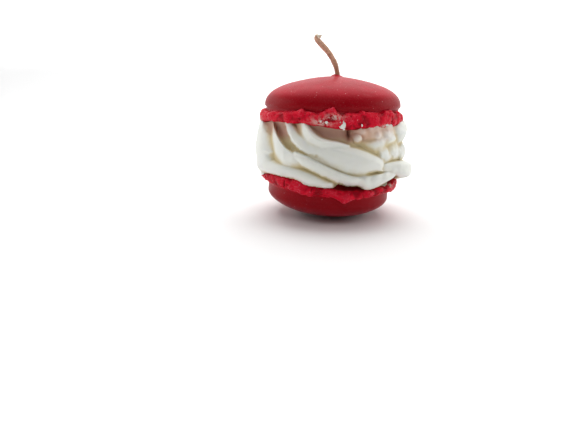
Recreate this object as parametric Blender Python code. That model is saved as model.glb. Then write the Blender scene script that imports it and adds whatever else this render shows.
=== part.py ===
"""A candle cast in the shape of a sandwich biscuit: two domed red wax shells with a rough foot, a piped
off-white wax filling between them, and a waxed cotton wick that stands in the upper shell.

The frame is in metres, +Z up, with its origin at the middle of the flat that the candle stands on.
Angles round the candle are in degrees from the front, which is -Y, and grow towards +X.
"""

import math

import bmesh
import bpy
import numpy as np

MM = 0.001
GAP = 0.3 * MM  # clearance that every pair of neighbours keeps
AROUND = 96  # steps round a shell
FOOT_STEPS = 7  # points across the foot
DOME_STEPS = 8  # points up the dome
SEED = 7
SHELL_RADIUS = 25.0 * MM  # upper dome at its widest, half of a 50 mm shell

# Each shell is described as it would lie level, then leans about the Y axis at its pivot
UPPER = {
    "centre": 0.0,
    "lean": 0.9,  # degrees, right side down
    "pivot": 40.8 * MM,
    "dome_radius": SHELL_RADIUS,
    "dome_root": 40.9 * MM,  # height where the dome is widest
    "dome_tip": 50.3 * MM,
    "dome_power": 2.31,  # 2 is an ellipse, more is squarer
    "peak": 1.1 * MM,  # soft rise towards the wick, and the radius that it fades over
    "peak_radius": 11.2 * MM,
    "groove_radius": 24.3 * MM,
    "groove": 40.0 * MM,
    "seat": 36.4 * MM,  # flat face that lies on the filling
    "seat_radius": 21.3 * MM,
    "foot_radius": 26.5 * MM,
    "foot_shift": -0.4 * MM,  # the foot sits a little to the left of the dome
    "foot_width": 2.4 * MM,
    "foot_far": 39.2 * MM,  # edge of the foot beside the dome
    "foot_near": 34.7 * MM,  # edge of the foot beside the filling
    # swells of the two edges: angle, rise in mm, half-width in degrees
    "far_swells": ((-22, 0.9, 6), (1, 1.7, 6), (24, 0.8, 6), (54, 1.2, 8)),
    "near_swells": ((-44, 1.1, 24), (14, -0.7, 13), (81, 0.4, 10)),
}
LOWER = {
    "centre": -0.9 * MM,
    "lean": 3.4,
    "pivot": 8.1 * MM,
    "dome_radius": 23.3 * MM,
    "dome_root": 8.1 * MM,
    "dome_tip": -0.3 * MM,  # the tip is pressed flat at height 0
    "dome_power": 1.8,
    "peak": 0.0,
    "peak_radius": 10.0 * MM,
    "groove_radius": 23.2 * MM,
    "groove": 11.2 * MM,
    "seat": 14.1 * MM,
    "seat_radius": 21.0 * MM,
    "foot_radius": 25.9 * MM,
    "foot_shift": 0.0,
    "foot_width": 2.3 * MM,
    "foot_far": 12.0 * MM,
    "foot_near": 14.8 * MM,
    "far_swells": ((13, -1.8, 7), (-14, -0.8, 5), (-32, 0.4, 10), (-74, 0.7, 10)),
    "near_swells": ((-42, 1.9, 21), (14, -0.5, 14), (86, 1.8, 14)),
}
FOOT_POWER = 2.6  # squareness of the foot's section
FOOT_RELIEF = 0.42 * MM  # depth of the crags in the foot
FOOT_WAVE = 0.35 * MM  # unevenness of the foot's two edges

# Wick: foot, elbow and end of its bow in the XZ plane, then the small hook of the frayed tip
WICK_RADIUS = 0.95 * MM
SOCKET_DEPTH = 4.2 * MM  # the wick stands this deep in the upper shell
WICK_FOOT = (1.5 * MM, UPPER["dome_tip"] + UPPER["peak"] - SOCKET_DEPTH)
WICK_ELBOW = (1.5 * MM, 59.0 * MM)
WICK_END = (-6.0 * MM, 64.3 * MM)
WICK_HOOK = ((-6.0 * MM, 65.1 * MM), (-5.0 * MM, 65.3 * MM))
WICK_STRAIGHT = 52.5 * MM  # upright below this height
WICK_SIDES = 10
WICK_STEPS = 14
LIP_RADIUS = 2.3 * MM  # raised wax round the wick's foot
LIP_HEIGHT = 0.75 * MM
LIP_SHIFT = -0.6 * MM  # the lip spreads a little to the left of the wick

# Filling
CORE_RADIUS = 23.2 * MM
CORE_BARREL = 0.5 * MM  # how much fuller the core is at its middle
FILLING_FLOOR = 12.0 * MM  # the filling is made past both seats and then cut to them
FILLING_ROOF = 39.0 * MM
STRAND_SIDES = 10
STRAND_STEPS = 10
STRAND_SPREAD = 0.3  # how much wider a ridge is at its root than at its waist

# Piped ridges of the front. Angles in degrees, the rest in mm: start, elbow and end of the ridge as
# (angle, height), its half-widths and its reaches from the axis at those three, its depth, and how far its
# ends are rounded (1 is a half ball, less is blunter)
FRONT_STRANDS = {
    "left_fall": ((-73, 37.5), (-79, 26), (-71, 18.5), (3.4, 6.4, 4.2), (27.0, 30.3, 27.0), 4.4, 1.0),
    "low_band": ((-94, 20), (-60, 18.8), (6, 17.0), (2.8, 3.4, 2.6), (27.2, 27.9, 26.6), 3.6, 1.0),
    "petal": ((-53, 37.5), (-52, 24.2), (-25, 23.4), (1.0, 2.9, 4.0), (25.2, 28.4, 26.6), 4.0, 1.0),
    "long_ridge": ((-28, 26.0), (-1, 19.2), (29, 15.8), (1.7, 2.1, 1.8), (27.0, 28.2, 27.3), 3.0, 1.0),
    "serrated": ((-38, 37.5), (-31, 27.6), (-8, 25.4), (1.7, 3.2, 3.2), (25.2, 28.0, 26.0), 3.8, 1.0),
    "great_lobe": ((-24, 37.5), (-19, 25.8), (43, 21.6), (1.8, 8.6, 3.4), (25.2, 28.8, 27.0), 4.8, 0.8),
    "crescent": ((-20, 37.0), (-11, 27.4), (13, 30.0), (1.2, 2.0, 1.2), (26.0, 28.8, 26.4), 3.4, 1.0),
    "tongue": ((36, 21.8), (62, 21.2), (88, 17.8), (1.9, 2.5, 3.1), (26.2, 28.2, 31.2), 3.4, 0.4),
    "fold_a": ((14, 21.0), (18, 17.4), (22, 15.0), (1.8, 2.8, 1.6), (26.0, 28.0, 26.4), 3.6, 1.0),
    "fold_b": ((27, 20.5), (29, 16.8), (30, 14.4), (1.6, 2.7, 1.0), (26.0, 27.8, 26.2), 3.6, 1.0),
    "fold_c": ((38, 21.0), (40, 18.0), (39, 15.4), (1.8, 3.0, 1.6), (26.0, 27.6, 26.2), 3.6, 1.0),
    "fold_d": ((51, 21.0), (52, 18.6), (50, 16.0), (1.8, 3.0, 1.6), (25.8, 27.2, 26.0), 3.6, 1.0),
}

# Lumps where the piping broke up: (angle, height), reach, half-width, half-height and depth in mm
LUMPS = (
    ((34, 31.8), 25.4, 4.2, 4.2, 4.0),
    ((26, 30.2), 25.8, 1.6, 1.8, 3.0),
    ((19, 32.6), 24.8, 1.5, 1.4, 2.6),
    ((42, 27.0), 25.9, 3.4, 2.8, 3.8),
    ((55, 26.0), 26.8, 3.6, 3.6, 4.0),
    ((53, 33.0), 25.4, 4.0, 4.0, 4.0),
    ((76, 31.9), 27.7, 4.0, 3.9, 4.8),
    ((75, 25.4), 27.7, 3.8, 3.0, 4.8),
    ((66, 21.4), 26.4, 5.4, 3.8, 4.4),
    ((67, 29.0), 26.2, 3.0, 3.0, 3.6),
    ((90, 28.6), 27.0, 3.6, 4.2, 4.4),
    ((95, 34.4), 26.4, 3.6, 4.0, 4.0),
)

# The swirl goes on round the back by rule
BACK_FROM = 94
BACK_TO = 262
BACK_STRANDS = 10
BACK_SWEEP = 60  # degrees that a ridge travels on its way down
BACK_BANDS = 4  # ridges that lie low along the lower shell


def clear_scene():
    for obj in list(bpy.data.objects):
        bpy.data.objects.remove(obj, do_unlink=True)


def wax(name, colour, roughness):
    made = bpy.data.materials.new(name)
    made.use_nodes = True
    shader = made.node_tree.nodes["Principled BSDF"]
    shader.inputs["Base Color"].default_value = (*colour, 1.0)
    shader.inputs["Roughness"].default_value = roughness
    shader.inputs["Metallic"].default_value = 0.0
    return made


def mesh_object(name, points, faces, material):
    mesh = bpy.data.meshes.new(name)
    mesh.from_pydata(points.reshape(-1, 3).tolist(), [], faces)
    mesh.materials.append(material)
    mesh.shade_smooth()
    obj = bpy.data.objects.new(name, mesh)
    bpy.context.scene.collection.objects.link(obj)
    return obj


def closed_rings(name, rings, first, last, material):
    """A closed skin over rings of points, rings[i, j] being point j of ring i, with one point at each end."""
    count, sides = rings.shape[:2]
    points = np.concatenate([rings.reshape(-1, 3), [first, last]])
    start = count * sides
    faces = []
    for j in range(sides):
        k = (j + 1) % sides
        faces.append((start, k, j))
        for i in range(count - 1):
            faces.append((i * sides + j, i * sides + k, (i + 1) * sides + k, (i + 1) * sides + j))
        faces.append(((count - 1) * sides + j, (count - 1) * sides + k, start + 1))
    obj = mesh_object(name, points, faces, material)
    face_out(obj)
    return obj


def face_out(obj):
    work = bmesh.new()
    work.from_mesh(obj.data)
    bmesh.ops.recalc_face_normals(work, faces=work.faces)
    work.to_mesh(obj.data)
    work.free()


def keep_modifiers(obj):
    """Turns the object's modifiers into its mesh, without the slivers that a Boolean leaves."""
    graph = bpy.context.evaluated_depsgraph_get()
    mesh = bpy.data.meshes.new_from_object(obj.evaluated_get(graph))
    obj.modifiers.clear()
    obj.data = mesh
    work = bmesh.new()
    work.from_mesh(mesh)
    bmesh.ops.triangulate(work, faces=work.faces)
    bmesh.ops.dissolve_degenerate(work, dist=0.01 * MM, edges=work.edges)
    work.to_mesh(mesh)
    work.free()
    mesh.shade_smooth()


def boolean(obj, operation, others):
    """Joins or cuts with a list of helper objects, which are then removed."""
    helpers = bpy.data.collections.new("helpers")
    bpy.context.scene.collection.children.link(helpers)
    for other in others:
        bpy.context.scene.collection.objects.unlink(other)
        helpers.objects.link(other)
    modifier = obj.modifiers.new(operation.lower(), "BOOLEAN")
    modifier.operation = operation
    modifier.solver = "EXACT"
    modifier.operand_type = "COLLECTION"
    modifier.collection = helpers
    keep_modifiers(obj)
    for other in others:
        bpy.data.objects.remove(other, do_unlink=True)
    bpy.data.collections.remove(helpers)


def swells(angle, bumps):
    """Sum of rounded rises at the stated angles, each rise * exp(-(distance / half-width)^2)."""
    total = np.zeros_like(angle)
    for centre, rise, half_width in bumps:
        apart = (angle - centre + 180) % 360 - 180
        total += rise * MM * np.exp(-((apart / half_width) ** 2))
    return total


def waves(angle, across, draws, lowest, highest):
    """Smooth unevenness of about +-1: sines whose turns round the candle are whole numbers."""
    total = np.zeros(np.broadcast(angle, across).shape)
    count = 7
    for _ in range(count):
        turns = draws.integers(lowest, highest)
        slant = draws.uniform(-2.5, 2.5)
        phase = draws.uniform(0, 2 * math.pi)
        total += np.sin(turns * np.radians(angle) + slant * across + phase)
    return total / math.sqrt(count)


def leaning(points, shape):
    """Turns level points about the Y direction at the shell's pivot, right side down."""
    turn = math.radians(shape["lean"])
    x = points[..., 0] - shape["centre"]
    z = points[..., 2] - shape["pivot"]
    return np.stack(
        [
            shape["centre"] + x * math.cos(turn) + z * math.sin(turn),
            points[..., 1],
            shape["pivot"] - x * math.sin(turn) + z * math.cos(turn),
        ],
        axis=-1,
    )


def shell(name, shape, material, seed, grow=0.0, foot_steps=FOOT_STEPS, dome_steps=DOME_STEPS):
    """A turned shell: the seat that meets the filling, the rough foot, the groove and the smooth dome.

    The foot's section is a superellipse whose two edges rise and fall with the angle. grow moves the seat and
    the foot outward, which makes the cutter that keeps the filling clear of them.
    """
    draws = np.random.default_rng(seed)
    angle = np.arange(AROUND) * 360.0 / AROUND
    side = 1.0 if shape["dome_tip"] > shape["seat"] else -1.0  # +1 where the dome is above the filling
    uneven = FOOT_WAVE * waves(angle, 0.0, draws, 9, 24)
    far = shape["foot_far"] + side * 0.5 * uneven + swells(angle, shape["far_swells"]) + side * grow
    near = shape["foot_near"] + uneven + swells(angle, shape["near_swells"]) - side * grow

    rings = []

    def add(radius, height, shift=0.0):
        radius = np.broadcast_to(radius, angle.shape)
        height = np.broadcast_to(height, angle.shape)
        turn = np.radians(angle)
        x = shape["centre"] + shift + radius * np.sin(turn)
        rings.append(np.stack([x, -radius * np.cos(turn), height], axis=-1))

    seat = shape["seat"] - side * grow
    add(0.5 * shape["seat_radius"], seat)
    add(shape["seat_radius"] - grow, seat)
    width = shape["foot_width"]
    for step in range(foot_steps):
        tilt = math.pi * step / (foot_steps - 1) - 0.5 * math.pi  # -90 degrees at the near edge, +90 at the far one
        bulge = math.cos(tilt) ** (2 / FOOT_POWER)
        climb = math.copysign(abs(math.sin(tilt)) ** (2 / FOOT_POWER), tilt)
        crag = FOOT_RELIEF * waves(angle, tilt, draws, 9, 26) * bulge
        height = 0.5 * (near + far) + 0.5 * (far - near) * climb
        add(shape["foot_radius"] - width + (width + crag) * bulge + grow, height, shape["foot_shift"])
    add(shape["groove_radius"] + grow, shape["groove"])
    for step in range(dome_steps):
        turn = 0.5 * math.pi * step / dome_steps
        radius = shape["dome_radius"] * math.cos(turn) ** (2 / shape["dome_power"])
        rise = math.sin(turn) ** (2 / shape["dome_power"])
        peak = shape["peak"] * math.exp(-((radius / shape["peak_radius"]) ** 2))
        add(radius, shape["dome_root"] + (shape["dome_tip"] - shape["dome_root"]) * rise + peak)

    tip = shape["dome_tip"] + shape["peak"]
    rings = leaning(np.array(rings), shape)
    ends = leaning(np.array([[shape["centre"], 0, seat], [shape["centre"], 0, tip]]), shape)
    rings[..., 2] = np.maximum(rings[..., 2], 0.0)  # the candle stands on a flat
    ends[:, 2] = np.maximum(ends[:, 2], 0.0)
    return closed_rings(name, rings, ends[0], ends[1], material)


def blend(values, t):
    """Quadratic Bezier curve through the first and last value, drawn towards the middle one."""
    a, b, c = (np.asarray(value, float) for value in values)
    t = t.reshape(-1, *([1] * a.ndim))
    return a * (1 - t) ** 2 + 2 * b * t * (1 - t) + c * t**2


def strand(row, material):
    """One piped ridge: an ellipse, wider at its root, carried along a Bezier curve on the candle's side and
    closed by rounded ends."""
    start, elbow, end, widths, reaches, depth, rounding = row
    t = 0.5 - 0.5 * np.cos(math.pi * (np.arange(STRAND_STEPS) + 0.6) / (STRAND_STEPS + 0.2))
    route = np.concatenate([[0.0], t, [1.0]])
    angle, height = blend((start, elbow, end), route).T
    width = blend(widths, route)
    reach = blend(reaches, route)
    turn = np.radians(angle)
    outward = np.stack([np.sin(turn), -np.cos(turn), np.zeros_like(turn)], axis=-1)
    centre = outward * (reach - depth)[:, None] + np.stack([0 * turn, 0 * turn, height], axis=-1)
    along = np.gradient(centre, route, axis=0)
    along /= np.linalg.norm(along, axis=1, keepdims=True)
    across = np.cross(along, outward)
    across /= np.linalg.norm(across, axis=1, keepdims=True)
    out = np.cross(across, along)
    gone = np.concatenate([[0.0], np.cumsum(np.linalg.norm(np.diff(centre, axis=0), axis=1))])
    left = np.minimum(gone, gone[-1] - gone)
    full = np.minimum(left / (rounding * width), 1.0)
    taper = np.sqrt(np.maximum(1 - (1 - full) ** 2, 0.0))
    spin = 2 * math.pi * np.arange(STRAND_SIDES) / STRAND_SIDES
    sideways = np.cos(spin) * (1 - STRAND_SPREAD * np.sin(spin))
    section = (
        across[:, None] * (width * taper)[:, None, None] * sideways[None, :, None]
        + out[:, None] * (depth * taper)[:, None, None] * np.sin(spin)[None, :, None]
    )
    rings = (centre[:, None] + section) * MM
    return closed_rings("strand", rings[1:-1], centre[0] * MM, centre[-1] * MM, material)


def lump(row, material):
    """A rounded blob that stands on the filling's side."""
    (angle, height), reach, half_width, half_height, depth = row
    work = bmesh.new()
    bmesh.ops.create_icosphere(work, subdivisions=2, radius=1.0)
    mesh = bpy.data.meshes.new("lump")
    work.to_mesh(mesh)
    work.free()
    points = np.array([vertex.co[:] for vertex in mesh.vertices])
    turn = math.radians(angle)
    outward = np.array([math.sin(turn), -math.cos(turn), 0.0])
    sideways = np.array([math.cos(turn), math.sin(turn), 0.0])
    placed = (
        outward * (reach - depth)
        + np.outer(points[:, 0] * depth, outward)
        + np.outer(points[:, 1] * half_width, sideways)
        + np.outer(points[:, 2] * half_height + height, [0, 0, 1])
    )
    faces = [tuple(face.vertices) for face in mesh.polygons]
    bpy.data.meshes.remove(mesh)
    return mesh_object("lump", placed * MM, faces, material)


def back_rows(draws):
    """The ridges of the back, in the same terms as the front ones."""
    rows = []
    for start in np.linspace(BACK_FROM, BACK_TO, BACK_STRANDS):
        sweep = BACK_SWEEP * draws.uniform(0.8, 1.1)
        end = min(start + sweep, 280)
        wide = draws.uniform(3.4, 5.0)
        reach = draws.uniform(27.4, 28.4)
        rows.append(
            (
                (start, 37.5),
                (start + 3, draws.uniform(24.5, 27.0)),
                (end, draws.uniform(19.5, 21.5)),
                (1.4, wide, 2.6),
                (25.2, reach, 26.8),
                3.8,
                1.0,
            )
        )
    for start in np.linspace(86, 232, BACK_BANDS):
        rows.append(
            (
                (start, 20.5),
                (start + 26, draws.uniform(17.6, 18.6)),
                (start + 58, 17.0),
                (2.2, 3.0, 2.2),
                (26.2, 27.4, 26.4),
                3.4,
                1.0,
            )
        )
    return rows


def filling(material):
    """A plain core with every ridge and lump joined to it, cut clear of both shells."""
    draws = np.random.default_rng(SEED)
    heights = np.linspace(FILLING_FLOOR, FILLING_ROOF, 5)
    turn = np.linspace(0, 2 * math.pi, 48, endpoint=False)
    rings = []
    for height in heights:
        middle = 2 * (height - FILLING_FLOOR) / (FILLING_ROOF - FILLING_FLOOR) - 1
        radius = CORE_RADIUS + CORE_BARREL * (1 - middle**2)
        rings.append(np.stack([radius * np.sin(turn), -radius * np.cos(turn), np.full_like(turn, height)], axis=-1))
    body = closed_rings("filling", np.array(rings), (0, 0, FILLING_FLOOR), (0, 0, FILLING_ROOF), material)
    pieces = [strand(row, material) for row in list(FRONT_STRANDS.values()) + back_rows(draws)]
    pieces += [lump(row, material) for row in LUMPS]
    boolean(body, "UNION", pieces)
    cutters = [
        shell("cutter", UPPER, material, SEED + 1, GAP, dome_steps=2),
        shell("cutter", LOWER, material, SEED + 2, GAP, dome_steps=2),
    ]
    boolean(body, "DIFFERENCE", cutters)
    return body


def upper_shell(material):
    """The upper shell, with a raised lip of wax round the wick and the hole that the wick stands in."""
    body = shell("top_shell", UPPER, material, SEED + 1)
    x = WICK_FOOT[0]
    top = UPPER["dome_tip"] + UPPER["peak"]
    lip = bmesh.new()
    bmesh.ops.create_uvsphere(lip, u_segments=16, v_segments=8, radius=1.0)
    bmesh.ops.scale(lip, vec=(LIP_RADIUS, LIP_RADIUS, LIP_HEIGHT), verts=lip.verts)
    bmesh.ops.translate(lip, vec=(x + LIP_SHIFT, 0, top - 0.1 * LIP_HEIGHT), verts=lip.verts)
    collar = helper_from(lip, "lip", material)
    boolean(body, "UNION", [collar])
    hole = bmesh.new()
    depth = SOCKET_DEPTH + 4 * LIP_HEIGHT  # past the lip's top
    bmesh.ops.create_cone(
        hole, cap_ends=True, segments=16, radius1=WICK_RADIUS + GAP, radius2=WICK_RADIUS + GAP, depth=depth
    )
    bmesh.ops.translate(hole, vec=(x, 0, WICK_FOOT[1] - GAP + 0.5 * depth), verts=hole.verts)
    boolean(body, "DIFFERENCE", [helper_from(hole, "hole", material)])
    return body


def helper_from(work, name, material):
    mesh = bpy.data.meshes.new(name)
    work.to_mesh(mesh)
    work.free()
    mesh.materials.append(material)
    obj = bpy.data.objects.new(name, mesh)
    bpy.context.scene.collection.objects.link(obj)
    return obj


def wick(material):
    """A round cord along a bow to the left, hooked and a little thinner at its tip."""
    t = np.linspace(0, 1, WICK_STEPS)
    bow = blend((WICK_FOOT, WICK_ELBOW, WICK_END), t)
    bow[:, 0] = np.where(bow[:, 1] < WICK_STRAIGHT, WICK_FOOT[0], bow[:, 0])
    route = np.concatenate([bow, WICK_HOOK])
    along = np.gradient(route, axis=0)
    along /= np.linalg.norm(along, axis=1, keepdims=True)
    across = np.stack([along[:, 1], -along[:, 0]], axis=-1)
    radius = np.full(len(route), WICK_RADIUS)
    radius[-2:] = (0.85 * WICK_RADIUS, 0.5 * WICK_RADIUS)
    turn = 2 * math.pi * np.arange(WICK_SIDES) / WICK_SIDES
    rings = []
    for centre, side, size in zip(route, across, radius):
        flat = centre + np.outer(size * np.cos(turn), side)
        rings.append(np.stack([flat[:, 0], size * np.sin(turn), flat[:, 1]], axis=-1))
    first = (route[0, 0], 0, route[0, 1])
    last = (route[-1, 0], 0, route[-1, 1])
    return closed_rings("wick", np.array(rings), first, last, material)


def main():
    clear_scene()
    red = wax("red_wax", (0.36, 0.012, 0.03), 0.5)
    dark_red = wax("dark_red_wax", (0.22, 0.008, 0.022), 0.5)
    cream = wax("cream_wax", (0.72, 0.70, 0.60), 0.45)
    cotton = wax("waxed_cotton", (0.42, 0.22, 0.14), 0.7)
    shell("bottom_shell", LOWER, dark_red, SEED + 2)
    filling(cream)
    upper_shell(red)
    wick(cotton)


main()
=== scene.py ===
import math

import bpy
import numpy as np
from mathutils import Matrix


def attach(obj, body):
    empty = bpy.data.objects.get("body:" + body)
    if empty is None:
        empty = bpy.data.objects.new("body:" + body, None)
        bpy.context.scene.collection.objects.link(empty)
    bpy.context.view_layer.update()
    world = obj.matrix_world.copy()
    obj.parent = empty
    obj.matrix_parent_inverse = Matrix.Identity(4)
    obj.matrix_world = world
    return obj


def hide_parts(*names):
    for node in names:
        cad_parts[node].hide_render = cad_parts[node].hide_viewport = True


# A candle cast as a sandwich biscuit: two domed red wax shells, a piped white wax filling and a cotton wick.
# Lengths are in millimetres until a mesh is written, angles in degrees from the front (-Y) towards +X.

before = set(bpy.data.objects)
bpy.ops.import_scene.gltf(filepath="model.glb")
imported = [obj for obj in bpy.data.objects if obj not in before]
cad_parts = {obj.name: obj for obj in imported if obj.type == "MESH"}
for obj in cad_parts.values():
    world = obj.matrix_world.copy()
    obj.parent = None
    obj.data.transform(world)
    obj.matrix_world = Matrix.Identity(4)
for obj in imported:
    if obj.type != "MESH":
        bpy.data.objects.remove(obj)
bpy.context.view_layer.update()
mm = 0.001
contact = 0.05  # what neighbouring pieces keep apart


# Ramps and noise

def smoothStep(low, high, value):
    # 0 below low, 1 above high, 3t^2 - 2t^3 between
    t = np.clip((value - low) / (high - low), 0, 1)
    return t * t * (3 - 2 * t)


def zone(angle, height, limits):
    # 1 in a part of the side, 0 outside: a rising and a falling ramp of angle, and a ramp of height
    rising, falling, level = limits
    return smoothStep(*rising, angle) * (1 - smoothStep(*falling, angle)) * smoothStep(*level, height)


def bell(x, y):
    # exp(-(x^2 + y^2))
    return np.exp(-(x * x + y * y))


def turnFrom(centre, angle):
    # Degrees from centre to angle, -180 to 180
    return (angle - centre + 180) % 360 - 180


def ringSpots(angle, radius, height):
    # Points at a radius from the axis and at a height: (r sin a, -r cos a, z)
    turn = np.radians(angle)
    return np.stack([radius * np.sin(turn), -radius * np.cos(turn), height + 0 * turn], -1)


def softNoise(points, size, seed):
    # Random numbers on a lattice of the given spacing, blended between the 8 corners round each point by
    # 3t^2 - 2t^3: about -1 to 1
    count = 32
    table = np.random.default_rng(seed).uniform(-1, 1, (count, count, count))
    scaled = np.asarray(points) / size
    cell = np.floor(scaled).astype(int)
    part = scaled - cell
    part = part * part * (3 - 2 * part)
    total = np.zeros(scaled.shape[:-1])
    for corner in np.ndindex(2, 2, 2):
        i, j, k = np.moveaxis((cell + corner) % count, -1, 0)
        total += np.prod(np.where(corner, part, 1 - part), axis=-1) * table[i, j, k]
    return total


def layeredNoise(points, layers, seed):
    # Sum of rise * soft noise over the layers, each (rise, size), each with the next seed
    return sum(rise * softNoise(points, size, seed + index) for index, (rise, size) in enumerate(layers))


def noiseShift(points, size, seed):
    # One soft noise for each direction
    return np.stack([softNoise(points, size, seed + index) for index in range(3)], -1)


def nearestSpots(points, size, seed):
    # Each lattice cell has one random spot. Gives the distance to the nearest spot in cells, how much
    # further away the next one is, and the nearest spot's own random number
    count = 24
    draws = np.random.default_rng(seed)
    spots, numbers = draws.random((count, count, count, 3)), draws.random((count, count, count))
    scaled = np.asarray(points) / size
    cell = np.floor(scaled).astype(int)
    nearest = np.full(scaled.shape[:-1], 9.0)
    second, own = nearest.copy(), np.zeros(nearest.shape)
    for shift in np.ndindex(3, 3, 3):
        corner = cell + np.array(shift) - 1
        i, j, k = np.moveaxis(corner % count, -1, 0)
        away = np.linalg.norm(scaled - corner - spots[i, j, k], axis=-1)
        closer = away < nearest
        second = np.where(closer, nearest, np.minimum(second, away))
        own = np.where(closer, numbers[i, j, k], own)
        nearest = np.where(closer, away, nearest)
    return nearest, second - nearest, own


# Curves and meshes

def throughPoints(points, count):
    # Catmull-Rom: a smooth curve through every row of points, count values long
    points = np.asarray(points, float)
    padded = np.concatenate([[2 * points[0] - points[1]], points, [2 * points[-1] - points[-2]]])
    place = np.linspace(0, len(points) - 1, count)
    span = np.minimum(place.astype(int), len(points) - 2)
    t = (place - span)[:, None]
    a, b, c, d = (padded[span + i] for i in range(4))
    return 0.5 * (2 * b + (c - a) * t + (2 * a - 5 * b + 4 * c - d) * t**2 + (3 * b - a - 3 * c + d) * t**3)


def lengthAlong(points):
    # Distance travelled along a line of points, at each of them
    return np.concatenate([[0], np.cumsum(np.linalg.norm(np.diff(points, axis=0), axis=1))])


def roundAbout(angle, table):
    # Height at each angle: a smooth closed curve through the table's (angle, height) points, with
    # 3t^2 - 2t^3 between neighbours
    places, heights = np.array(table, float).T
    places = np.append(places, places[0] + 360)
    heights = np.append(heights, heights[0])
    turned = (angle - places[0]) % 360 + places[0]
    span = np.clip(np.searchsorted(places, turned, side="right") - 1, 0, len(table) - 1)
    share = smoothStep(places[span], places[span + 1], turned)
    return heights[span] + (heights[span + 1] - heights[span]) * share


def writeMesh(name, points, faces, material, values=None):
    # Makes the object at the origin, shaded smooth, with one float attribute for each entry of values
    mesh = bpy.data.meshes.new(name)
    mesh.from_pydata((np.asarray(points) * mm).tolist(), [], faces)
    mesh.materials.append(material)
    mesh.shade_smooth()
    for key, numbers in (values or {}).items():
        attribute = mesh.attributes.new(key, "FLOAT", "POINT")
        attribute.data.foreach_set("value", np.asarray(numbers, np.float32))
    piece = bpy.data.objects.new(name, mesh)
    bpy.context.scene.collection.objects.link(piece)
    return piece


def skinFaces(rows, sides, offset=0):
    # Quads of a rows x sides grid that closes round its sides, and a fan to one extra point at each end
    ring = np.arange(sides)
    following = (ring + 1) % sides
    start = np.arange(rows - 1)[:, None] * sides
    quads = np.stack([start + ring, start + following, start + sides + following, start + sides + ring], -1)
    first = rows * sides
    top = (rows - 1) * sides
    low = np.stack([np.full(sides, first), following, ring], -1)
    high = np.stack([top + ring, top + following, np.full(sides, first + 1)], -1)
    return (quads.reshape(-1, 4) + offset).tolist() + (low + offset).tolist() + (high + offset).tolist()


def closedSkin(name, grid, first, last, material, values):
    # A closed skin over grid[row, side], with the points first and last closing its two ends
    points = np.concatenate([grid.reshape(-1, 3), [first, last]])
    full = {}
    for key, numbers in values.items():
        full[key] = np.concatenate([numbers.reshape(-1), [numbers[0].mean(), numbers[-1].mean()]])
    return writeMesh(name, points, skinFaces(*grid.shape[:2]), material, full)


# Materials

def newMaterial(name):
    # A node material, with its node tree, its shader and its object coordinates
    made = bpy.data.materials.new(name)
    made.use_nodes = True
    tree = made.node_tree
    coords = tree.nodes.new("ShaderNodeTexCoord").outputs["Object"]
    return made, tree, tree.nodes["Principled BSDF"], coords


def setInputs(node, values):
    # Sets each named socket to its value
    for name, value in values.items():
        node.inputs[name].default_value = value


def plug(tree, socket, value):
    # Links another socket to this one, or sets it to a number or a colour
    if isinstance(value, tuple):
        socket.default_value = (*value, 1.0)
    elif isinstance(value, (int, float)):
        socket.default_value = value
    else:
        tree.links.new(value, socket)


def noiseNode(tree, coords, perMetre, detail=3.0, rough=0.5):
    # Fractal noise with perMetre cells to the metre, 0 to 1
    made = tree.nodes.new("ShaderNodeTexNoise")
    setInputs(made, {"Scale": perMetre, "Detail": detail, "Roughness": rough})
    tree.links.new(coords, made.inputs["Vector"])
    return made.outputs["Fac"]


def ramp(tree, value, low, high, fromValue=0.0, toValue=1.0):
    # fromValue below low, toValue above high, 3t^2 - 2t^3 between
    made = tree.nodes.new("ShaderNodeMapRange")
    made.interpolation_type = "SMOOTHSTEP"
    setInputs(made, {"From Min": low, "From Max": high, "To Min": fromValue, "To Max": toValue})
    tree.links.new(value, made.inputs["Value"])
    return made.outputs["Result"]


def mixColour(tree, factor, first, second):
    # first + (second - first) * factor, where each is a colour or a socket
    made = tree.nodes.new("ShaderNodeMix")
    made.data_type = "RGBA"
    plug(tree, made.inputs["Factor"], factor)
    plug(tree, made.inputs[6], first)
    plug(tree, made.inputs[7], second)
    return made.outputs[2]


def combine(tree, operation, first, second):
    # One sum or product of two numbers or sockets
    made = tree.nodes.new("ShaderNodeMath")
    made.operation = operation
    plug(tree, made.inputs[0], first)
    plug(tree, made.inputs[1], second)
    return made.outputs[0]


def attributeNode(tree, name):
    # One of the piece's own float attributes
    made = tree.nodes.new("ShaderNodeAttribute")
    made.attribute_name = name
    return made.outputs["Fac"]


def bump(tree, height, distance, strength, after=None):
    # A normal tilted by the slope of height * distance (metres), on top of an earlier one
    made = tree.nodes.new("ShaderNodeBump")
    setInputs(made, {"Distance": distance, "Strength": strength})
    tree.links.new(height, made.inputs["Height"])
    if after is not None:
        tree.links.new(after, made.inputs["Normal"])
    return made.outputs["Normal"]


redFinish = {
    "deep": (0.37, 0.0005, 0.011),
    "plain": (0.43, 0.0008, 0.014),
    "grooveShade": (0.26, 0.0002, 0.005),  # painted shade on the dome's steep lower side and in the groove round each foot
    "broken": (0.60, 0.0015, 0.020),  # the foot's torn wax
    # painted shade in the foot's pits
    "hollow": (0.30, 0.0006, 0.008),
    "edge": (0.62, 0.06, 0.095),  # painted highlight on the crests of the foot's crumbs
    "dust": (0.72, 0.42, 0.42),
    "smear": (0.62, 0.42, 0.38),  # white wax rubbed on the foot
    "haze": 0.03,  # most dust between the specks, then in them
    "specks": 0.35,
    "roughness": (0.34, 0.48),
    "shader": {
        "Subsurface Weight": 0.10, "Subsurface Radius": (1.0, 0.12, 0.10), "Subsurface Scale": 0.0012,
        "Sheen Weight": 0.07, "Sheen Roughness": 0.28, "Sheen Tint": (1.0, 0.82, 0.84, 1.0),
        "Specular IOR Level": 0.07,
    },
}


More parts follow.
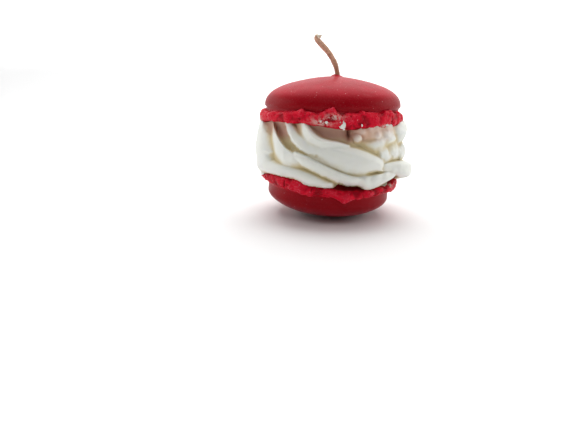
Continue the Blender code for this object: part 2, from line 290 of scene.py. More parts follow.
def redWax(name, finish):
    # Cast wax: a slow change of depth, torn wax and white wax smears by the piece's own attributes, with
    # painted shade in the foot's pits and round each dome's foot and a painted highlight on the foot's
    # crumbs, fine dust
    made, tree, shader, coords = newMaterial(name)
    slow = noiseNode(tree, coords, 160.0, 4.0, 0.6)
    crumbs = noiseNode(tree, coords, 2600.0, 2.0, 0.6)
    specks = noiseNode(tree, coords, 1500.0, 1.0, 0.4)
    patches = noiseNode(tree, coords, 900.0, 3.0, 0.65)
    ripples = noiseNode(tree, coords, 700.0)
    fine = noiseNode(tree, coords, 4200.0, 4.0, 0.65)
    relief = attributeNode(tree, "relief")
    # where the painted highlight falls: high relief among the crumbs
    crestHighlight = combine(tree, "MULTIPLY", ramp(tree, relief, 0.02, 0.42), ramp(tree, crumbs, 0.45, 0.68))
    smeared = combine(tree, "MULTIPLY", attributeNode(tree, "smear"), ramp(tree, patches, 0.40, 0.62))
    # painted shade in the foot's pits, then the painted highlight on the crumbs' crests
    foot = mixColour(tree, ramp(tree, relief, -0.30, 0.12), finish["hollow"], finish["broken"])
    foot = mixColour(tree, crestHighlight, foot, finish["edge"])
    colour = mixColour(tree, ramp(tree, slow, 0.35, 0.65), finish["deep"], finish["plain"])
    # painted shade: darker red on the dome's steep lower side and in the groove by the foot
    colour = mixColour(tree, attributeNode(tree, "grooveShade"), colour, finish["grooveShade"])
    colour = mixColour(tree, attributeNode(tree, "torn"), colour, foot)
    colour = mixColour(tree, ramp(tree, crumbs, 0.48, 0.72, 0.0, finish["haze"]), colour, finish["dust"])
    colour = mixColour(tree, ramp(tree, specks, 0.72, 0.82, 0.0, finish["specks"]), colour, finish["dust"])
    colour = mixColour(tree, smeared, colour, finish["smear"])
    tree.links.new(colour, shader.inputs["Base Color"])
    tree.links.new(ramp(tree, fine, 0.3, 0.7, *finish["roughness"]), shader.inputs["Roughness"])
    skin = bump(tree, fine, 0.00006, 0.5)
    tree.links.new(bump(tree, ripples, 0.00010, 0.35, skin), shader.inputs["Normal"])
    setInputs(shader, finish["shader"])
    return made


whiteFinish = {
    "light": (0.76, 0.77, 0.72),
    "paintedShadeColour": (0.62, 0.52, 0.30),  # painted shade in the valleys between the ridges and under overhangs
    "stainAndShade": (0.60, 0.36, 0.27),  # red stain from the wax with painted shade and painted red bounce light, in the hollows under the upper shell
    "roughness": (0.42, 0.56),
    "shader": {
        "Subsurface Weight": 0.25, "Subsurface Radius": (1.0, 0.85, 0.6), "Subsurface Scale": 0.0012,
        "Specular IOR Level": 0.4,
    },
}


def whiteWax(name, finish):
    # Piped wax: paler on the ridges, painted shade warmer in the valleys and under overhangs, reddish brown
    # deep under the upper shell as a stain with painted shade and painted red bounce light
    made, tree, shader, coords = newMaterial(name)
    slow = noiseNode(tree, coords, 220.0)
    fine = noiseNode(tree, coords, 3000.0, 4.0, 0.6)
    # painted shade in the valleys and under overhangs, with a slow random change
    paintedShade = combine(tree, "ADD", attributeNode(tree, "paintedShade"), ramp(tree, slow, 0.3, 0.7, -0.12, 0.12))
    # the red stain with painted shade and painted red bounce light under the upper shell
    stainAndShade = combine(tree, "MULTIPLY", attributeNode(tree, "stainAndShade"), ramp(tree, slow, 0.2, 0.8, 0.75, 1.15))
    colour = mixColour(tree, ramp(tree, paintedShade, 0.05, 0.95), finish["light"], finish["paintedShadeColour"])
    colour = mixColour(tree, ramp(tree, stainAndShade, 0.0, 1.0), colour, finish["stainAndShade"])
    tree.links.new(colour, shader.inputs["Base Color"])
    tree.links.new(ramp(tree, fine, 0.3, 0.7, *finish["roughness"]), shader.inputs["Roughness"])
    tree.links.new(bump(tree, fine, 0.00005, 0.35), shader.inputs["Normal"])
    setInputs(shader, finish["shader"])
    return made


# Shells. Each is worked out level, then leans about the Y direction at its pivot, right side down

upperShell = {
    "side": 1,  # the dome is above the filling
    "centre": 0.0,
    "lean": 0.9,
    "pivot": 40.8,
    "domeRadius": 25.0,
    "domeRoot": 40.9,
    "domeTip": 50.3,
    "domePower": 2.31,
    "peak": 1.1,
    "peakRadius": 11.2,
    "grooveRadius": 24.2,
    "groove": 40.0,
    "seat": 36.4,
    "seatRadius": 21.3,
    "footRadius": 26.5,
    "footShift": -0.4,
    "footWidth": 2.4,
    "footPower": 2.6,
    # edges of the foot, (angle, height): beside the dome, then beside the filling
    "farEdge": (
        (-81, 39.3), (-60, 38.9), (-47, 39.0), (-33, 39.3), (-26, 39.9), (-22, 40.2), (-18, 39.8),
        (-10, 39.3), (-6, 39.7), (-2, 40.7), (2, 40.9), (5, 40.2), (8, 39.4), (14, 39.5), (20, 39.7),
        (24, 40.1), (31, 39.8), (40, 39.4), (50, 40.5), (60, 40.2), (81, 38.9), (110, 39.5), (150, 39.1),
        (190, 39.7), (235, 39.2),
    ),
    "nearEdge": (
        (-81, 34.3), (-56, 35.8), (-40, 35.8), (-23, 35.7), (-9, 35.2), (-1, 34.7), (10, 34.1), (26, 34.2),
        (37, 34.6), (62, 34.6), (81, 35.1), (120, 34.7), (170, 35.0), (225, 34.6),
    ),
    # crumbs that stand out of the foot: angle, height, radius, rise
    "knobs": (
        (-22, 39.9, 1.0, 0.5), (1, 40.4, 1.1, 0.7), (-4, 39.2, 0.9, 0.4), (24, 39.7, 0.9, 0.4),
        (45, 40.0, 1.1, 0.4), (52, 39.8, 1.2, 0.5), (64, 39.2, 1.0, 0.4), (-52, 38.2, 1.0, 0.3),
        (110, 39.2, 1.2, 0.5), (164, 38.9, 1.1, 0.5), (201, 39.4, 1.2, 0.5), (250, 39.0, 1.1, 0.5),
    ),
    # white wax rubbed on the foot: angle, height, reach along and up
    "smears": (
        (-5, 36.6, 3.2, 1.3), (3, 38.2, 2.6, 0.9), (46, 35.2, 2.4, 0.6), (-73, 36.2, 1.6, 0.8),
        (150, 36.4, 2.4, 1.0),
    ),
    # shallow dents in the dome: angle, height, radius, depth
    "dents": ((31, 45.3, 1.0, 0.16), (27, 45.6, 0.6, 0.12), (-38, 46.3, 1.2, 0.10)),
    "seed": 11,
}

lowerShell = {
    "side": -1,
    "centre": -0.9,
    "lean": 3.4,
    "pivot": 8.1,
    "domeRadius": 23.3,
    "domeRoot": 8.1,
    "domeTip": -0.3,
    "domePower": 1.8,
    "peak": 0.0,
    "peakRadius": 10.0,
    "grooveRadius": 23.1,
    "groove": 11.2,
    "seat": 15.6,
    "seatRadius": 21.0,
    "footRadius": 25.9,
    "footShift": 0.0,
    "footWidth": 2.3,
    "footPower": 2.6,
    "farEdge": (
        (-67, 12.9), (-50, 12.1), (-34, 12.4), (-27, 12.4), (-20, 11.7), (-15, 11.0), (-8, 11.8),
        (2, 11.8), (9, 10.9), (14, 10.0), (20, 10.7), (31, 11.6), (41, 12.0), (48, 12.3), (71, 12.1),
        (110, 11.6), (150, 12.2), (195, 11.5), (240, 12.2),
    ),
    "nearEdge": (
        (-81, 14.2), (-59, 16.1), (-49, 16.6), (-35, 16.6), (-23, 16.8), (-17, 15.4), (6, 14.6),
        (14, 14.2), (27, 14.4), (39, 14.8), (55, 14.8), (81, 16.9), (100, 16.2), (140, 15.0), (185, 14.8),
        (230, 15.1),
    ),
    "knobs": (
        (-60, 14.2, 1.1, 0.4), (-30, 13.4, 1.1, 0.4), (-14, 12.4, 1.0, 0.5), (14, 11.6, 1.2, 0.6),
        (35, 13.0, 1.0, 0.4), (60, 13.6, 1.1, 0.5), (120, 13.4, 1.2, 0.5), (175, 13.0, 1.1, 0.5),
        (222, 13.6, 1.2, 0.5),
    ),
    "smears": (
        (62, 14.9, 1.2, 0.9), (205, 13.8, 1.8, 0.8),
    ),
    "dents": (),
    "seed": 23,
}

shellGrid = {"around": 880, "foot": 44, "dome": 52}  # columns, then rows of each stretch
domeNoise = ((0.10, 6.0), (0.012, 0.8))  # rise and size of each layer
waxLip = {"radius": 2.3, "height": 0.75, "shift": -0.6}  # raised wax round the wick

footRelief = {
    "edges": {"farEdge": (0.22, 1.5), "nearEdge": (0.132, 1.7)},  # unevenness of each edge: rise, size
    "ring": 26.0,  # radius of the circle that this noise and the smears are laid out on
    "noise": ((0.28, 3.4), (0.07, 0.33)),
    # rise, size in mm, and the distance or the noise at which each starts
    "chunks": (0.62, 2.5, 0.60),
    "crumbs": (0.42, 0.62, 0.58),
    "pits": (0.8, 1.1, 0.42),
    "chunkWarp": (0.35, 0.9),
    "patches": (1.7, (-0.15, 0.35)),  # crumbs lie in patches: size, and the noise that they fade in over
    "underside": (-1.45, -0.9),  # tilt that the relief fades in over, as the foot is smooth on the filling
}


def lean(points, shape):
    # Turns level points about the Y direction at the shell's pivot
    turn = math.radians(shape["lean"])
    x = points[..., 0] - shape["centre"]
    z = points[..., 2] - shape["pivot"]
    return np.stack([shape["centre"] + x * math.cos(turn) + z * math.sin(turn), points[..., 1],
                     shape["pivot"] - x * math.sin(turn) + z * math.cos(turn)], -1)


def footEdges(angle, shape):
    # Heights of the foot's far and near edges, each through its table's points with a little noise added
    spots = ringSpots(angle, footRelief["ring"], 0)
    edges = []
    for index, (key, (rise, size)) in enumerate(footRelief["edges"].items()):
        edges.append(roundAbout(angle, shape[key]) + rise * softNoise(spots, size, shape["seed"] + 1 + index))
    return edges


def innerFace(x, y, shape):
    # Height of the face towards the filling over a plan position: the seat, then a slope to the foot's near
    # edge, then the foot's rounded underside, near + half * (1 - (1 - u^p)^(1/p)), all leaning
    outX = x - shape["centre"] - shape["footShift"]
    radius = np.hypot(outX, y)
    far, near = footEdges(np.degrees(np.arctan2(outX, -y)), shape)
    start, power = shape["footRadius"] - shape["footWidth"], shape["footPower"]
    slope = np.clip((radius - shape["seatRadius"]) / (start - shape["seatRadius"]), 0, 1)
    level = shape["seat"] + (near - shape["seat"]) * slope
    u = np.clip((radius - start) / shape["footWidth"], 0, 0.97)  # short of the upright end
    level = level + 0.5 * (far - near) * (1 - (1 - u**power) ** (1 / power))
    turn = math.radians(shape["lean"])
    return shape["pivot"] + (level - shape["pivot"]) * math.cos(turn) - (x - shape["centre"]) * math.sin(turn)


def domeHeight(radius, shape):
    # Superellipse in section, root + (tip - root) * (1 - (r / R)^n)^(1/n), with a soft peak at the axis
    share = np.clip(1 - (radius / shape["domeRadius"]) ** shape["domePower"], 0, 1)
    rise = share ** (1 / shape["domePower"])
    peak = shape["peak"] * np.exp(-((radius / shape["peakRadius"]) ** 2))
    return shape["domeRoot"] + (shape["domeTip"] - shape["domeRoot"]) * rise + peak


def footPush(angle, radius, height, shape):
    # How far the foot stands out: chunks and crumbs, each rise * (start - distance to its spot), soft noise,
    # pits where a noise is above its start, and a bell for each knob
    seed = shape["seed"]
    spots = ringSpots(angle, radius, height)
    push = layeredNoise(spots, footRelief["noise"], seed + 6)
    shift, size = footRelief["chunkWarp"]
    warped = spots + shift * noiseShift(spots, size, seed + 40)
    rise, size, start = footRelief["chunks"]
    push += rise * (start - nearestSpots(warped, size, seed + 3)[0])
    size, limits = footRelief["patches"]
    patches = smoothStep(*limits, softNoise(spots, size, seed + 12))
    rise, size, start = footRelief["crumbs"]
    push += rise * patches * (start - nearestSpots(spots, size, seed + 4)[0])
    depth, size, start = footRelief["pits"]
    push -= depth * np.maximum(softNoise(spots, size, seed + 5) - start, 0)
    for knobAngle, knobHeight, knobRadius, rise in shape["knobs"]:
        across = np.radians(turnFrom(knobAngle, angle)) * radius
        push += rise * bell(across / knobRadius, (height - knobHeight) / knobRadius)
    return push


def shell(name, shape, material, poleShift=0.0, lip=None):
    # A turned shell on a grid of angle and path: seat, rough foot (a superellipse in section, pushed out
    # along its normal), groove and dome. The dome's rows close on a pole at poleShift
    angle = np.arange(shellGrid["around"]) * 360 / shellGrid["around"] - 180
    side, width, power, dome = (shape[key] for key in ("side", "footWidth", "footPower", "domeRadius"))
    far, near = footEdges(angle, shape)
    rows, looks = [], []

    # the last value is painted shade: full on the seat, foot and groove rows, rising on the dome's steepest
    # rows
    def add(points, torn=0.0, relief=0.0, grooveShade=1.0):
        rows.append(points + (shape["centre"], 0, 0))
        looks.append(np.array(np.broadcast_arrays(torn, relief, grooveShade, angle)[:3]))

    for share in (0.35, 0.7, 1.0):
        add(ringSpots(angle, share * shape["seatRadius"], shape["seat"]))
    for tilt in np.linspace(-0.5, 0.5, shellGrid["foot"]) * math.pi:
        outward, upward = abs(math.cos(tilt)), abs(math.sin(tilt))
        radius = shape["footRadius"] - width + width * outward ** (2 / power)
        climb = math.copysign(upward ** (2 / power), tilt)
        height = 0.5 * (near + far) + 0.5 * (far - near) * climb
        push = footPush(angle, radius, height, shape)
        fade = smoothStep(*footRelief["underside"], tilt)
        radius = radius + fade * push * outward**0.7
        height = height + fade * push * side * math.copysign(upward**1.5, tilt)
        add(ringSpots(angle, radius, height) + (shape["footShift"], 0, 0), fade, push)
    for share in (0.35, 0.75):
        radius = shape["grooveRadius"] + 0.35 * (1 - share)
        add(ringSpots(angle, radius, shape["groove"] + side * 0.45 * (share - 0.5)), 0.5 * (1 - share))
    for share in np.linspace(0, 1, shellGrid["dome"], endpoint=False):
        radius = dome * math.cos(0.5 * math.pi * share**0.92) ** (2 / shape["domePower"])
        shift = poleShift * (1 - (radius / dome) ** 2)
        spots = ringSpots(angle, radius, 0) + (shift, 0, 0)
        plan = np.minimum(np.hypot(spots[:, 0], spots[:, 1]), dome)
        spots[:, 2] = domeHeight(plan, shape)
        push = layeredNoise(spots, domeNoise, shape["seed"] + 8)
        for dentAngle, dentHeight, dentRadius, depth in shape["dents"]:
            across = np.radians(turnFrom(dentAngle, angle)) * radius
            push -= depth * bell(across / dentRadius, 2 * (spots[:, 2] - dentHeight) / dentRadius)
        steep = plan / dome
        scale = 1 + push * steep**2 / dome
        height = spots[:, 2] + side * push * (1 - steep**2)
        if lip:
            away = np.hypot(spots[:, 0] - poleShift - lip["shift"], spots[:, 1]) / lip["radius"]
            uneven = 1 + 0.35 * softNoise(spots, 1.2, shape["seed"] + 10)
            height = height + lip["height"] * uneven * np.maximum(1 - away**2, 0) ** 0.8
        points = np.stack([spots[:, 0] * scale, spots[:, 1] * scale, height], -1)
        # painted shade on the steepest rows of the dome, low round its side
        add(points, grooveShade=smoothStep(0.90, 1.0, steep))
    grid = np.array(rows)
    torn, relief, grooveShade = np.moveaxis(np.array(looks), 1, 0)
    smear = np.zeros(torn.shape)
    for smearAngle, smearHeight, along, up in shape["smears"]:
        across = np.radians(turnFrom(smearAngle, angle)) * footRelief["ring"]
        smear = np.maximum(smear, 1.3 * bell(across / along, (grid[..., 2] - smearHeight) / up))
    values = {"torn": torn, "relief": relief, "smear": smear * torn, "grooveShade": grooveShade}
    tip = float(domeHeight(np.array(abs(poleShift)), shape)) + (lip["height"] if lip else 0.0)
    first = lean(np.array([shape["centre"], 0, shape["seat"]]), shape)
    last = lean(np.array([shape["centre"] + poleShift, 0, tip]), shape)
    grid = lean(grid, shape)
    grid[..., 2] = np.maximum(grid[..., 2], 0.0)  # the candle stands on a flat
    last[2] = max(last[2], 0.0)
    if side < 0:  # rows run upwards, so that faces point out
        grid, first, last = grid[::-1], last, first
        values = {key: numbers[::-1] for key, numbers in values.items()}
    return closedSkin(name, grid, first, last, material, values)


# Filling. Its side is one radius for each angle and height: the outermost of a core and of all its ridges

filling = {
    "around": 850,
    "rows": 111,
    "low": 12.6,
    "high": 39.4,
    "core": 24.9,
    # how far the core draws back, and the heights between which it does: under the upper shell and low down
    "recesses": ((1.6, (29, 34)), (2.4, (19, 16.8))),
    "bare": (2.4, ((0, 5), (16, 23), (19, 17))),  # the lower shell shows here
    "outside": 27.6,
    "leaning": (52, 78),
    "leanFrom": (0, -168.4, 46.6),
    "uneven": ((0.13, 3.2), (0.05, 0.9), (0.012, 0.4)),
    "noiseRadius": 27.0,
    "seed": 7,
}

# One ridge: a line of points (angle, height, reach from the axis, half-width over, half-width under), its
# depth, the power of its section (2 round, 3 flat with steep sides), how far it melts into what is below it,
# and how torn its edge is
frontRidges = {
    "leftFall": ((
        (-77, 40, 25.4, 16, 8), (-80, 34.5, 27.3, 17, 9), (-82, 28, 28.7, 17, 10), (-82, 24, 28.8, 18, 10),
        (-80, 19.5, 28.1, 16, 9), (-78, 16.5, 27.0, 12, 7),
    ), 2.3, 2.2, 1.6, 0.0),
    "lowBand": ((
        (-104, 18.4, 26.2, 3.6, 3.2), (-86, 18.8, 27.2, 6.0, 2.6), (-68, 19.4, 28.0, 7.4, 2.2),
        (-52, 19.6, 28.1, 5.0, 1.9), (-38, 19.7, 28.1, 3.3, 2.1), (-28, 19.8, 28.0, 2.8, 2.4),
        (-21, 19.4, 27.9, 2.7, 2.7), (-16, 18.7, 27.7, 2.7, 3.4), (-10, 17.9, 27.5, 2.5, 2.9),
        (-4, 17.0, 27.1, 2.3, 2.2), (0, 16.7, 26.6, 1.9, 1.7),
    ), 3.2, 2.4, 2.8, 0.06),
    "petal": ((
        (-47, 38.0, 22.6, 0.6, 0.8), (-46, 35.2, 24.8, 0.7, 1.6), (-42.5, 31.9, 26.8, 0.8, 4.4),
        (-38, 29.4, 27.5, 0.8, 6.6), (-32.5, 27.2, 27.9, 0.8, 7.2), (-26, 25.7, 28.0, 1.2, 6.0),
        (-17, 24.4, 27.2, 2.0, 3.8),
    ), 3.2, 2.8, 0.5, 0.0),
    "tornEdge": ((
        (-35.2, 39.0, 24.4, 3.2, 0.8), (-31.4, 34.6, 26.6, 3.6, 0.9), (-27.3, 31.2, 27.4, 4.4, 0.9),
        (-23, 29.1, 27.8, 4.8, 0.9), (-18, 27.7, 27.9, 4.8, 1.1), (-12, 27.2, 27.8, 4.4, 1.6),
        (-5, 26.9, 27.5, 4.0, 2.8),
    ), 3.0, 2.2, 0.8, 0.28),
    "greatLobe": ((
        (-22, 38.0, 24.8, 2.4, 3.0), (-16, 32.5, 26.8, 3.2, 3.8), (-8, 29.2, 27.5, 3.5, 5.0),
        (2, 27.0, 28.4, 3.6, 6.4), (13, 25.5, 28.7, 4.0, 7.0), (24, 24.1, 28.8, 3.8, 5.6),
        (32, 23.1, 28.7, 3.2, 3.9), (36.2, 22.4, 28.4, 3.0, 2.8),
    ), 3.8, 2.5, 0.9, 0.0),
    "lobeCorner": ((
        (33, 21.6, 27.6, 0.8, 0.8), (37, 21.0, 27.7, 0.9, 0.8), (39.6, 20.4, 27.3, 0.7, 0.6),
    ), 3.0, 2.0, 0.9, 0.0),
    "rim": ((
        (-20, 38.0, 25.4, 1.7, 2.2), (-17, 34.7, 27.4, 1.7, 2.6), (-13.5, 32.6, 28.4, 1.5, 2.8),
        (-8.5, 31.2, 28.7, 1.2, 2.8), (-2, 30.4, 28.6, 1.0, 2.6), (4.5, 30.0, 27.9, 1.0, 2.2),
        (11.5, 29.3, 26.8, 1.0, 1.8),
    ), 3.4, 1.9, 1.3, 0.06),
    "longRidge": ((
        (-24.5, 26.0, 28.4, 1.3, 2.2), (-19, 25.0, 28.9, 1.5, 3.0), (-11, 23.3, 29.1, 1.5, 3.0),
        (-3, 21.6, 29.1, 1.5, 2.8), (5, 20.0, 28.9, 1.4, 2.5), (13, 18.7, 28.6, 1.4, 2.2),
        (21, 17.9, 28.1, 1.4, 1.9), (27, 17.4, 27.5, 1.6, 1.6),
    ), 3.6, 3.0, 0.3, 0.08),
    "skirt": ((
        (14, 18.4, 26.6, 1.8, 1.6), (22, 18.0, 27.4, 2.2, 2.6), (28, 17.6, 27.8, 2.4, 3.6),
        (35, 17.7, 27.7, 2.4, 3.1), (45, 18.2, 27.5, 2.4, 2.3), (54, 18.8, 27.1, 2.6, 2.2),
        (60, 19.4, 26.6, 2.4, 2.2),
    ), 4.0, 4.0, 0.8, 0.0),
    "tongue": ((
        (38, 21.4, 26.6, 2.0, 2.2), (48, 21.3, 27.4, 2.2, 2.5), (58, 20.5, 28.5, 2.6, 2.9),
        (68, 19.5, 29.6, 3.0, 3.3), (76, 18.5, 30.4, 3.4, 3.4), (80.5, 18.1, 30.6, 3.5, 3.3),
    ), 3.6, 5.0, 0.25, 0.0),
    "softFill": ((
        (-27, 27.2, 25.6, 1.8, 1.8), (-17, 25.9, 26.9, 2.0, 2.0), (-7, 24.3, 27.2, 2.2, 2.2),
        (4, 22.6, 27.1, 2.2, 2.2), (14, 21.0, 27.0, 2.2, 2.2), (24, 20.0, 26.8, 2.0, 2.0),
    ), 2.4, 2.0, 1.2, 0.0),
}

# Soft upright folds in the skirt and low in the petal: angle, height, rise, half-width in degrees
folds = (
    (17, 17.0, 0.4, 3.0), (25.5, 16.8, 0.6, 3.2), (34.5, 17.2, 0.6, 3.6), (44, 17.8, 0.5, 3.8),
    (53, 18.2, 0.4, 3.6), (-35.5, 25.6, 0.35, 2.6), (-28.5, 25.2, 0.3, 2.2), (-41, 26.5, 0.2, 2.4),
)

# Lumps where the piping broke up: angle, height, reach, half-width, half-height
lumps = (
    (29, 33.2, 25.7, 6.2, 3.4), (24, 33.4, 26.1, 3.4, 1.6), (37, 31.9, 26.4, 4.2, 2.0),
    (20, 31.2, 26.9, 1.9, 1.4), (34, 29.0, 26.9, 5.4, 2.4), (42, 25.6, 27.2, 4.4, 3.4),
    (49, 31.2, 26.8, 5.0, 3.4), (56, 26.2, 27.0, 5.6, 4.0), (74, 32.4, 28.0, 7.6, 4.0),
    (77, 25.0, 28.0, 8.6, 3.8), (88, 28.6, 27.2, 4.6, 4.6), (95, 34.4, 26.8, 4.6, 4.0),
    (92, 22.6, 27.0, 4.6, 4.0),
)

brokenMass = {
    "reach": 25.8,  # what the lumps stand on, and its zone
    "ground": ((20, 30), (98, 110), (20, 23)),
    "torn": ((8, 18), (100, 112), (22.5, 25.5)),  # zone of its pieces and noise
    "lumpDepth": 1.9,
    "lumpPower": 2.4,
    "lumpMelt": 0.8,
    "lumpRadius": 26.5,
    "sideways": ((2.0, 3.0), (0.5, 1.2)),  # how noise bends the lumps, in degrees, then in mm
    "upwards": ((0.8, 3.0), (0.22, 1.1)),
    "drawnOut": (1, 0.3, 1),  # torn pieces get longer towards the side
    "chunk": 3.6,
    "uneven": 0.45,
    "noise": ((0.42, 3.4), (0.26, 1.6), (0.07, 0.7)),
    "edge": (11, 30.4, 0.2, 23.6),  # its lower edge: angle and height of its start, fall, lowest height
}

hollow = {"angle": 12.2, "height": 33.6, "wide": 2.4, "tall": 1.9, "depth": 3.4}  # dark hole beside the rim

backSwirl = {"from": 94, "to": 262, "end": 280, "ridges": 10, "sweep": 60, "top": 37.5,
             "bandsFrom": 86, "bandsTo": 232, "bands": 4}


def backRidges(draws):
    # The swirl goes on round the back: ridges that fall as they turn, and bands low along the lower shell
    made = []
    top = backSwirl["top"]
    for start in np.linspace(backSwirl["from"], backSwirl["to"], backSwirl["ridges"]):
        end = min(start + backSwirl["sweep"] * draws.uniform(0.8, 1.1), backSwirl["end"])
        wide = draws.uniform(3.4, 5.0)
        reach = draws.uniform(27.4, 28.4)
        elbow = draws.uniform(24.5, 27.0)
        foot = draws.uniform(19.5, 21.5)
        line = ((start, top, 25.0, 1.6, 1.2),
                (start + 3, 0.5 * (top + elbow), 0.3 * 25 + 0.7 * reach, 2.2, wide * 0.9),
                (start + 0.35 * (end - start), elbow, reach, 2.0, wide * 1.2),
                (0.5 * (start + end) + 8, 0.5 * (elbow + foot), reach, 1.8, wide),
                (end, foot, 26.8, 1.8, 2.8))
        made.append((line, 4.0, 2.0, 0.4, 0.1))
    for start in np.linspace(backSwirl["bandsFrom"], backSwirl["bandsTo"], backSwirl["bands"]):
        middle = draws.uniform(17.6, 18.6)
        line = ((start, 20.3, 26.2, 2.2, 2.6), (start + 20, middle + 0.4, 27.4, 2.2, 3.4),
                (start + 40, middle, 27.4, 2.2, 3.2), (start + 58, 17.0, 26.4, 2.0, 2.4))
        made.append((line, 3.6, 2.0, 0.4, 0.0))
    return made


def ridgeRadius(angle, height, ridge, seed):
    # Reach of the nearest point of the ridge's line, less depth * (distance / half-width)^power. The distance
    # is measured on the unrolled side, and the half-width turns from over to under round the line
    line, depth, power, _, ragged = ridge
    arc = 27.5 * math.pi / 180  # mm to the degree
    path = throughPoints([(row[0] * arc, *row[1:]) for row in line], 90)
    middle = line[len(line) // 2][0]
    across = (turnFrom(middle, angle) + middle) * arc
    everywhere = np.full(angle.shape, -99.0)
    nearby = 18.0
    inside = (across > path[:, 0].min() - nearby) & (across < path[:, 0].max() + nearby)
    x, y = across[inside], height[inside]
    index = ((x[:, None] - path[:, 0]) ** 2 + (y[:, None] - path[:, 1]) ** 2).argmin(1)
    step = np.gradient(path, axis=0)
    tangent = step[:, :2] / np.hypot(step[:, 0], step[:, 1])[:, None]

    def ahead(node):
        return (x - path[node, 0]) * tangent[node, 0] + (y - path[node, 1]) * tangent[node, 1]

    segment = np.clip(np.where(ahead(index) < 0, index - 1, index), 0, len(path) - 2)
    before, after = ahead(segment), ahead(segment + 1)
    t = np.where(before <= 0, 0, np.where(after >= 0, 1, before / np.maximum(before - after, 1e-9)))
    lined = np.concatenate([path, tangent, lengthAlong(path[:, :2])[:, None]], 1)
    placeX, placeY, reach, over, under, aimX, aimY, travelled = (
        lined[segment] + t[:, None] * (lined[segment + 1] - lined[segment])).T
    awayX, awayY = x - placeX, y - placeY
    distance = np.hypot(awayX, awayY)
    overShare = 0.5 + 0.5 * (aimX * awayY - aimY * awayX) / np.maximum(distance, 1e-6)
    width = under + (over - under) * overShare
    if ragged:
        spots = np.stack([travelled, 0 * travelled + 3.3, 0 * travelled], -1)
        nibs = layeredNoise(spots, ((1.0, 1.1), (0.9, 0.5)), seed)
        width = width * (1 + ragged * nibs * (1 - overShare))
    everywhere[inside] = reach - depth * (distance / np.maximum(width, 0.3)) ** power
    return everywhere


def softMax(first, second, melt):
    # The larger of two values, rounded where they are within melt of each other
    near = np.maximum(melt - np.abs(first - second), 0) / melt
    return np.maximum(first, second) + near * near * melt * 0.25


def fillingRadius(angle, height):
    # The outermost of the core, the back's ridges, the broken mass with its lumps and the front's ridges,
    # with the folds added and the hollow taken off
    radius = filling["core"] + 0 * angle
    for depth, limits in filling["recesses"]:
        radius -= depth * smoothStep(*limits, height)
    depth, limits = filling["bare"]
    radius -= depth * zone(angle, height, limits)
    radius += (brokenMass["reach"] - radius) * zone(angle, height, brokenMass["ground"])
    for ridge in backRidges(np.random.default_rng(filling["seed"])):
        radius = softMax(radius, ridgeRadius(angle, height, ridge, 71), ridge[3])

    torn = zone(angle, height, brokenMass["torn"])
    spots = ringSpots(angle, filling["noiseRadius"], height)
    lumpAngle = angle + torn * layeredNoise(spots, brokenMass["sideways"], 61)
    lumpHeight = height + torn * layeredNoise(spots, brokenMass["upwards"], 63)
    power = brokenMass["lumpPower"]
    for centre, middle, reach, wide, tall in lumps:
        across = np.radians(turnFrom(centre, lumpAngle)) * brokenMass["lumpRadius"]
        away = np.abs(across / wide) ** power + np.abs((lumpHeight - middle) / tall) ** power
        radius = softMax(radius, reach - brokenMass["lumpDepth"] * away, brokenMass["lumpMelt"])
    drawnOut = spots * brokenMass["drawnOut"]
    _, apart, own = nearestSpots(drawnOut + noiseShift(drawnOut, 1.9, 65), brokenMass["chunk"], 68)
    rise = brokenMass["uneven"] * (own - 0.45) * smoothStep(0, 0.8, apart)
    radius += torn * (rise + layeredNoise(drawnOut, brokenMass["noise"], 101))

    for index, ridge in enumerate(frontRidges.values()):
        radius = softMax(radius, ridgeRadius(angle, height, ridge, 80 + 2 * index), ridge[3])
    for middle, level, rise, wide in folds:
        away = ((angle - middle) / wide) ** 2 + ((height - level) / 2.2) ** 2
        radius += rise * (np.exp(-away) - 0.35 * np.exp(-0.4 * away))
    hole = bell((angle - hollow["angle"]) / hollow["wide"], (height - hollow["height"]) / hollow["tall"])
    return radius - hollow["depth"] * hole


def sidePlace(angle, height, radius):
    # Ridges lean over the hollows beside them, so that the hollows open towards the front: a point that lies
    # deeper than the outside slides away from the place that leanFrom gives. This fades out towards the sides
    # and above the broken mass's lower edge
    share = 1 - smoothStep(*filling["leaning"], np.abs(angle))
    startAngle, startHeight, fall, lowest = brokenMass["edge"]
    edge = np.maximum(startHeight - fall * (angle - startAngle), lowest)
    share = share * (1 - 0.9 * smoothStep(10, 17, angle) * smoothStep(0.2, 2.6, height - edge))
    turn = np.radians(angle)
    outside = ringSpots(angle, filling["outside"], height)
    away = outside - np.array(filling["leanFrom"])
    away /= np.linalg.norm(away, axis=-1, keepdims=True)
    inward = away[..., 1] * np.cos(turn) - away[..., 0] * np.sin(turn)
    slide = share * (filling["outside"] - radius) / np.maximum(inward, 0.3)
    place = outside + slide[..., None] * away
    turned = np.arctan2(place[..., 0], -place[..., 1])
    return radius * np.sin(turned), -radius * np.cos(turned), place[..., 2]


def heldBetween(x, y, z):
    # z, no lower than the lower shell's inner face and no higher than the upper one's
    return np.clip(z, innerFace(x, y, lowerShell) + contact, innerFace(x, y, upperShell) - contact)


tints = {
    # share of each tint of the hollows (painted shade, or the stain with painted shade), the radius it starts
    # at, how much further in it is full, and the heights that it fades in between
    "shallow": (0.28, 28.3, 1.6, (0, 1)),
    "deep": (1, 26.9, 3.0, (21, 25)),
    "stainAndShade": (1, 27.0, 3.4, (28.5, 33.0)),
    # painted shade where the side faces down
    "facingDown": 0.45,
    "valleyDepth": 1.9,  # painted shade is full this far below what is round it
    "veil": (0.38, ((8, 13), (38, 62), (27.8, 31.5))),  # stain with painted shade over the broken mass: share, zone
}


def hollowTint(height, radius, tint):
    # share * how far in the point is, faded in by height
    share, start, depth, limits = tint
    return share * np.clip((start - radius) / depth, 0, 1) * smoothStep(*limits, height)


